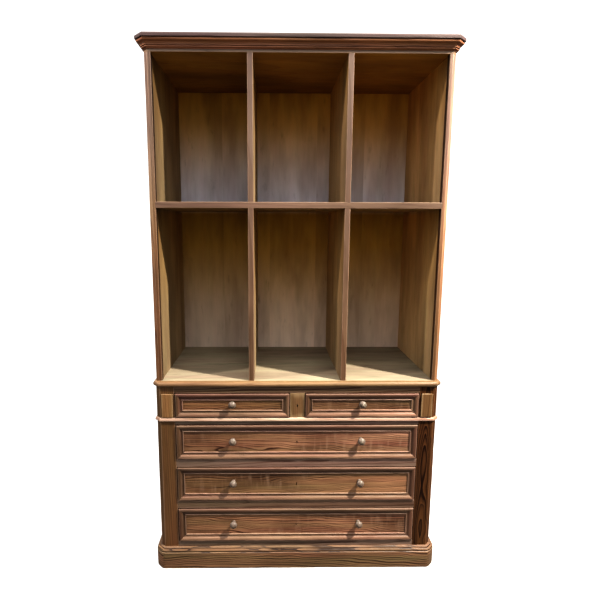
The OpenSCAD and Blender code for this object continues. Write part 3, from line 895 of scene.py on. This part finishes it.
for node, seed, tone in (
    ("frieze_rail", 101.0, (0.72, 0.7, 3.0)),
    ("belt_rail", 103.0, (0.8, 0.0, 1.0)),
    ("bottom_rail", 105.0, (0.9, 0.0, 1.0)),
):
    one_board(node, RAIL, "patinated_pine", 0, r=0.8 * MM, pith=(-0.04, 0.02), seed=seed, tone=tone)

mesh = Mesh()
for above, below, seed, tone in (
    ("wide_top", "wide_middle", 107.0, (1.0, 0.0, 0.9)),
    ("wide_middle", "wide_bottom", 109.0, (0.72, 0.45, 1.0)),
):
    a, b = low("drawer_rails"), high("drawer_rails")
    a[2] = high(f"{below}_front")[2] + 3 * MM
    b[2] = low(f"{above}_front")[2] - 3 * MM
    board(mesh, a, b, 0, r=1.0 * MM, pith=(-0.05, 0.01), seed=seed, tone=tone)
mesh.make("worn_drawer_rails", RAIL, BODY, "patinated_pine", "drawer_rails")

for side, bright in (("left", 0.95), ("right", 0.74)):
    s = SIDES[side]
    one_board(
        f"pilaster_block_{side}", HONEY, "honey_pine", 2, r=1.6 * MM, end_r=1.6 * MM, pith=(0.05 * s, -0.04),
        seed=121 + s, tone=(bright, 0.7, 1.2), step=0.012,
    )


def carve(piece, cutters):
    """Takes a piece out of the scene, and returns its mesh with the cutters cut out of it."""
    for tool in cutters:
        cut = piece.modifiers.new("cut", "BOOLEAN")
        cut.object = tool
        cut.solver = "MANIFOLD"
    bpy.context.view_layer.update()
    graph = bpy.context.evaluated_depsgraph_get()
    carved = bpy.data.meshes.new_from_object(piece.evaluated_get(graph))
    for spent in (*cutters, piece):
        bpy.data.objects.remove(spent)
    return carved


def cutter(co, faces):
    mesh = bpy.data.meshes.new("cutter")
    mesh.from_pydata(co, [], facing_out(np.array(co, float), faces))
    return placed("cutter", mesh)


def cutter_box(lo, hi):
    corners = [(x, y, z) for x in (lo[0], hi[0]) for y in (lo[1], hi[1]) for z in (lo[2], hi[2])]
    faces = [(0, 1, 3, 2), (4, 6, 7, 5), (0, 4, 5, 1), (2, 3, 7, 6), (0, 2, 6, 4), (1, 5, 7, 3)]
    return cutter(corners, faces)


def cutter_keyhole(x, y0, y1, z):
    """A round hole with a flared slot below it, along Y."""
    r = KEY_D / 2
    outline = arc((0, 0), r, -60, 240, 20)
    outline += [(-1.7 * MM, -9 * MM), (1.7 * MM, -9 * MM)]
    n = len(outline)
    co = [(x + u, y, z + v) for y in (y0, y1) for u, v in outline]
    faces = [[n + i, n + (i + 1) % n, (i + 1) % n, i] for i in range(n)]
    faces += [list(range(n)), list(range(n, 2 * n))[::-1]]
    return cutter(co, faces)


def lock_cutters(node, lock, key_z, top):
    """A keyhole through a board's front, and the recess behind it for the lock."""
    lock_lo, lock_hi = low(lock), high(lock)
    return [
        cutter_keyhole(0, low(node)[1] - 0.01, lock_lo[1] + MM, key_z),
        cutter_box(lock_lo, (lock_hi[0], high(node)[1] + 0.01, top)),
    ]


def carved_board(node, material, slot, body, along, cutters, pith, seed, tone, finish):
    """A board with those cutters cut out of it."""
    lo, hi = low(node), high(node)
    mesh = Mesh()
    board(mesh, lo, hi, along, r=MM, end_r=MM, pith=pith, seed=seed, tone=tone, finish=finish)
    blank = mesh.make(f"worn_{node}", material, body, slot)
    blank.modifiers.clear()
    carved = carve(blank, cutters)
    co = np.empty(len(carved.vertices) * 3, np.float32)
    carved.vertices.foreach_get("co", co)
    co = co.reshape(-1, 3)
    u, v = (co[:, i] - (lo[i] + hi[i]) / 2 for i in range(3) if i != along)
    near = np.sort(np.minimum(co - lo, hi - co), axis=1)
    wear = np.clip(1.4 - near[:, 1] / (2.5 * MM), 0, 1)
    trunk = co[:, along] - lo[along] + TRUNK_STEP * seed
    attach(carved, "grain", np.column_stack([trunk, u - pith[0], v - pith[1]]))
    attach(carved, "look", np.column_stack([wear, finish(u, v), np.zeros(len(co))]))
    attach(carved, "tone", toned(tone, co))
    carved.materials.clear()
    finish_piece(carved, f"worn_{node}", material, body, (node,), 30)


lock_lo, lock_hi = low("centre_stile_lock"), high("centre_stile_lock")
carved_board(
    "centre_stile", HONEY, "honey_pine", BODY, 2,
    lock_cutters("centre_stile", "centre_stile_lock", (lock_lo[2] + lock_hi[2]) / 2, lock_hi[2]),
    pith=(0.09, 0.03), seed=131.0, tone=(0.67, 0.4, 1.0), finish=lambda u, v: (v < 0).astype(float),
)

# ---- drawers ----

frame_profile = np.array(
    [(0, 0), (0, 6.5)]
    + arc((3, 7), 3, 170, 110, 6)
    + arc((6, -4.1), 14, 95, 46, 9)
    + [(16.3, 3.6), (17.2, 3)]
    + arc((21, 11.4), 9, 250, 285, 6)
    + arc((27, 2.4), 2.6, 160, 10, 8)
    + [(29.7, 1.5), (30, 0)]
) * MM


def drawer_moulding(drawer, seed, chips):
    """Four mitred lengths of moulding round a drawer front."""
    node = f"{drawer}_moulding"
    (x0, _, z0), (x1, field_y, z1) = low(node), high(node)
    hair = 0.12 * MM
    mesh = Mesh()
    # The bottom length is painted lighter, a painted highlight on its bead, and the left length darker, painted
    # shade; the top and right lie between.
    lengths = (
        (x0, z0, X, Z, x1 - x0, (1.45, 0.0, 0.8), chips),
        (x1, z0, Z, -X, z1 - z0, (0.9, 0.2, 0.8), None),
        (x1, z1, -X, -Z, x1 - x0, (0.9, 0.0, 0.8), None),
        (x0, z1, -Z, X, z1 - z0, (0.7, 0.4, 0.8), None),
    )
    for i, (x, z, el, eu, length, tone, splinters) in enumerate(lengths):
        prism(
            mesh, frame_profile, np.array([x, field_y, z]) + el * hair, eu, -Y, el, length - 2 * hair,
            slope=(1.0, -1.0), seed=seed + 1.9 * i, tone=tone, wear=0.9 * MM, wear_gain=0.0045, step=0.012,
            pith=(0.03, -0.05), chips=splinters,
        )
    mesh.make(f"worn_{node}", BEAD, drawer, "drawer_pine", node, sharp=34)


def knob_profile():
    """Half outline of a turned knob, [radius, distance in front of the field]."""
    points = [(9.0, 0.0), (9.2, 1.2), (8.4, 2.2), (6.9, 4.0), (6.2, 6.5), (6.1, 9.0), (6.8, 11.2)]
    points += [(8.6, 12.8), (11.2, 14.0)]
    points += arc((8.8, 21), 6.2, -52, 58, 12)
    points += [(10.6, 28.6), (8.6, 30.4), (6.4, 31.9), (4.2, 32.9), (2.2, 33.6), (0.9, 33.9)]
    return np.array(points) * MM


def drawer_knobs(drawer, seed):
    """Turned knobs, each a little off round and turned its own way."""
    node = f"{drawer}_knobs"
    front_lo, front_hi = low(f"{drawer}_front"), high(f"{drawer}_front")
    z = (front_lo[2] + front_hi[2]) / 2 + KNOB_RISE
    mid = (low(node)[0] + high(node)[0]) / 2
    places = (mid,) if drawer in SMALL else (mid - KNOB_PITCH / 2, mid + KNOB_PITCH / 2)
    n = 48
    around = np.linspace(0, 2 * math.pi, n, endpoint=False)
    mesh = Mesh()
    for k, x in enumerate(places):
        off = 1 + 0.008 * np.sin(2 * around + seed + k)
        co, look = [], []
        for r, out in [(0.0049, -19.9 * MM), (0.0049, -0.2 * MM), *knob_profile()]:
            y = np.full(n, front_lo[1] - out)
            co.append(np.column_stack([x + r * off * np.cos(around), y, z + r * off * np.sin(around)]))
            neck, groove, tip = (
                math.exp(-(((out / MM - middle) / reach) ** 2)) for middle, reach in ((6, 5), (30.4, 0.9), (23, 6))
            )
            look.append(np.tile([0.7 * tip, 1.0, min(1.0, 0.6 * neck + 0.35 * groove)], (n, 1)))
        at = np.concatenate(co)
        turned = [at[:, 1] + 3.1 * k + seed, at[:, 0] - x + 0.012, at[:, 2] - z + 0.02]
        grain = KNOB_GRAIN * np.column_stack(turned)
        mesh.add(co, [grain], look, (1.0 + 0.05 * math.sin(seed + k), 0.2, 1.0))
    mesh.make(f"worn_{node}", KNOB, drawer, "turned_knob", node, sharp=50)


def drawer_box(drawer, seed):
    """Two sides, a back and a bottom, from the boards' places in the CAD."""
    node = f"{drawer}_box"
    (x0, y0, z0), (x1, y1, z1) = low(node), high(node)
    side_t, back_t, bottom_t, lift = 14 * MM, 12 * MM, 8 * MM, 6 * MM
    a, b, under, over = x0 + side_t, x1 - side_t, z0 + lift, z0 + lift + bottom_t
    upright = {"r": 1.5 * MM, "end_r": 0.8 * MM, "pith": (0.05, -0.04), "tone": (0.95, 0.1, 1.0)}
    across = {"r": 1.5 * MM, "pith": (0.04, 0.02)}
    bottom = {"r": 0.5 * MM, "pith": (0.05, -0.1), "tone": (0.92, 0.0, 0.8)}
    mesh = Mesh()
    for lo, hi, along, step, kind in (
        ((x0, y0, z0), (a, y1, z1), 1, 0, upright),
        ((b, y0, z0), (x1, y1, z1), 1, 1, upright),
        ((a, y1 - back_t, over), (b, y1, z1), 0, 3, across),
        ((a, y0, under), (b, y1, over), 0, 5, bottom),
    ):
        board(mesh, np.array(lo), np.array(hi), along, seed=seed + step, finish=0.0, **kind)
    mesh.make(f"worn_{node}", INNER, drawer, "inner_pine", node)


def drawer_front(drawer, pith, seed, tone):
    node = f"{drawer}_front"
    z0, z1 = low(node)[2], high(node)[2]
    cutters = lock_cutters(node, f"{drawer}_lock", (z0 + z1) / 2, z1 + 0.01) if drawer in WIDE else []
    carved_board(
        node, FIELD, "drawer_pine", drawer, 0, cutters, pith, seed, tone,
        finish=lambda u, v: (u < 4 * MM).astype(float),  # bare behind, for the last few mm
    )


def field_tone(left, right):
    """Tone of a drawer front, drifting from its left end to its right end."""

    def tone(co):
        share = np.clip((co[:, :1] + 0.42) / 0.84, 0, 1)
        share = share * share * (3 - 2 * share)
        return np.array(left) * (1 - share) + np.array(right) * share

    return tone


def chipped(along):
    """Extra wear on the left of a lower edge, in metres."""
    return 2.4 * MM * np.clip(ripple(along, 2.0, 5.0), 0, 1) * (along < 0.36)


LOOKS = {
    "small_left": ((0.03, -0.09), 141.0, (0.66, 0.5, 1.0), (0.7, 0.4, 1.0)),
    "small_right": ((0.03, 0.1), 147.0, (0.7, 0.4, 1.0), (0.84, 0.0, 1.0)),
    "wide_top": ((0.05, -0.1), 153.0, (0.78, 0.1, 1.0), (1.5, -0.4, 1.0)),
    "wide_middle": ((0.04, 0.13), 159.0, (0.86, 0.2, 1.0), (0.86, 0.1, 1.0)),
    "wide_bottom": ((0.05, -0.08), 165.0, (0.9, 0.1, 1.0), (1.02, -0.1, 1.0)),
}
for drawer, (pith, seed, left, right) in LOOKS.items():
    drawer_front(drawer, pith, seed, field_tone(left, right))
    drawer_moulding(drawer, seed + 0.7, chipped if drawer == "wide_middle" else None)
    drawer_knobs(drawer, seed)
    drawer_box(drawer, seed + 0.3)

# ---- CAD nodes that stay ----


def dress(node, material, bevel=0.5 * MM):
    """A CAD node keeps its shape, and gets eased edges and a material."""
    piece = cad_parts[node]
    piece.data.materials.clear()
    piece.data.materials.append(material)
    weld = piece.modifiers.new("weld", "WELD")
    weld.merge_threshold = 1e-5
    ease = piece.modifiers.new("eased edges", "BEVEL")
    ease.width = bevel
    ease.segments = 2
    ease.limit_method = "ANGLE"
    ease.angle_limit = math.radians(40)
    ease.harden_normals = True


for node, axis in (
    ("crown_bearers", "y"),
    ("chest_floor", "x"),
    ("centre_partition", "y"),
    ("drawer_runners", "y"),
    ("drawer_stops", "x"),
):
    dress(node, INNER_CAD[axis])
for node in ("centre_stile_lock", "wide_top_lock", "wide_middle_lock", "wide_bottom_lock"):
    dress(node, IRON, 0.3 * MM)

# ---- floor, light and camera ----

floor_mesh = bpy.data.meshes.new("floor")
FAR = 14.0
corners = [(-FAR, -FAR, 0), (FAR, -FAR, 0), (FAR, FAR, 0), (-FAR, FAR, 0)]
floor_mesh.from_pydata(corners, [], [(0, 1, 2, 3)])
floor_mesh.materials.append(pale_floor("pale floor"))
floor = placed("floor", floor_mesh)


def area_light(name, at, aim, size, power, colour, spread=180):
    data = bpy.data.lights.new(name, "AREA")
    data.shape = "RECTANGLE"
    data.size, data.size_y = size
    data.energy, data.color, data.spread = power, colour, math.radians(spread)
    lamp = placed(name, data)
    lamp.location = at
    lamp.rotation_euler = (Vector(aim) - Vector(at)).to_track_quat("-Z", "Y").to_euler()


BULB = (0.12, 0.12)
area_light(
    "right lamp", (2.0, CASE_FRONT - 1.02, 3.45), (0.35, CASE_FRONT, 0.4), BULB, 70, (1.0, 0.94, 0.84), 85
)
area_light("left lamp", (-2.2, CASE_FRONT - 0.78, 3.5), (-0.2, CASE_FRONT, 1.0), BULB, 62, (1.0, 0.9, 0.83))
area_light("softbox", (-0.1, -2.5, 3.3), (0, 0, 1.0), (2.4, 1.2), 14, (0.95, 0.96, 1.0))
area_light(
    "ceiling glow", (0.0, CASE_FRONT - 1.3, 3.7), (0, CASE_FRONT - 0.2, 0.3), (2.6, 0.9), 10,
    (1.0, 0.95, 0.92), 110,
)

world = bpy.data.worlds.new("studio")
world.use_nodes = True
scene = bpy.context.scene
scene.world = world
tree = world.node_tree
tree.nodes.clear()
seen, ambient, backdrop, choose, world_out = (
    tree.nodes.new(f"ShaderNode{kind}")
    for kind in ("LightPath", "Background", "Background", "MixShader", "OutputWorld")
)
backdrop.inputs["Color"].default_value = (1, 1, 1, 1)
ambient.inputs["Color"].default_value = (0.94, 0.97, 1.0, 1)
ambient.inputs["Strength"].default_value = 0.75
sources = (seen.outputs["Is Camera Ray"], ambient.outputs[0], backdrop.outputs[0])
for source, socket in zip(sources, choose.inputs):
    tree.links.new(source, socket)
tree.links.new(choose.outputs[0], world_out.inputs[0])

YAW, PITCH, ROLL = 0.01234, 0.15138, -0.00312
CAMERA_AT = (-0.1067, -1.9947, 1.4454)
camera_data = bpy.data.cameras.new("camera")
camera_data.lens, camera_data.sensor_width = 27.0, 36.0
camera_data.shift_x, camera_data.shift_y = 0.0387, -0.0100
camera_data.clip_start = 0.05
camera = placed("camera", camera_data)
ahead = Vector((math.sin(YAW) * math.cos(PITCH), math.cos(YAW) * math.cos(PITCH), -math.sin(PITCH)))
level = Vector((math.cos(YAW), -math.sin(YAW), 0))
down = ahead.cross(level)
right = level * math.cos(ROLL) + down * math.sin(ROLL)
under = down * math.cos(ROLL) - level * math.sin(ROLL)
turned = Matrix((right, -under, -ahead)).transposed().to_4x4()
camera.matrix_world = Matrix.Translation(CAMERA_AT) @ turned
scene.camera = camera

scene.view_settings.view_transform = "Standard"
scene.view_settings.look = "High Contrast"
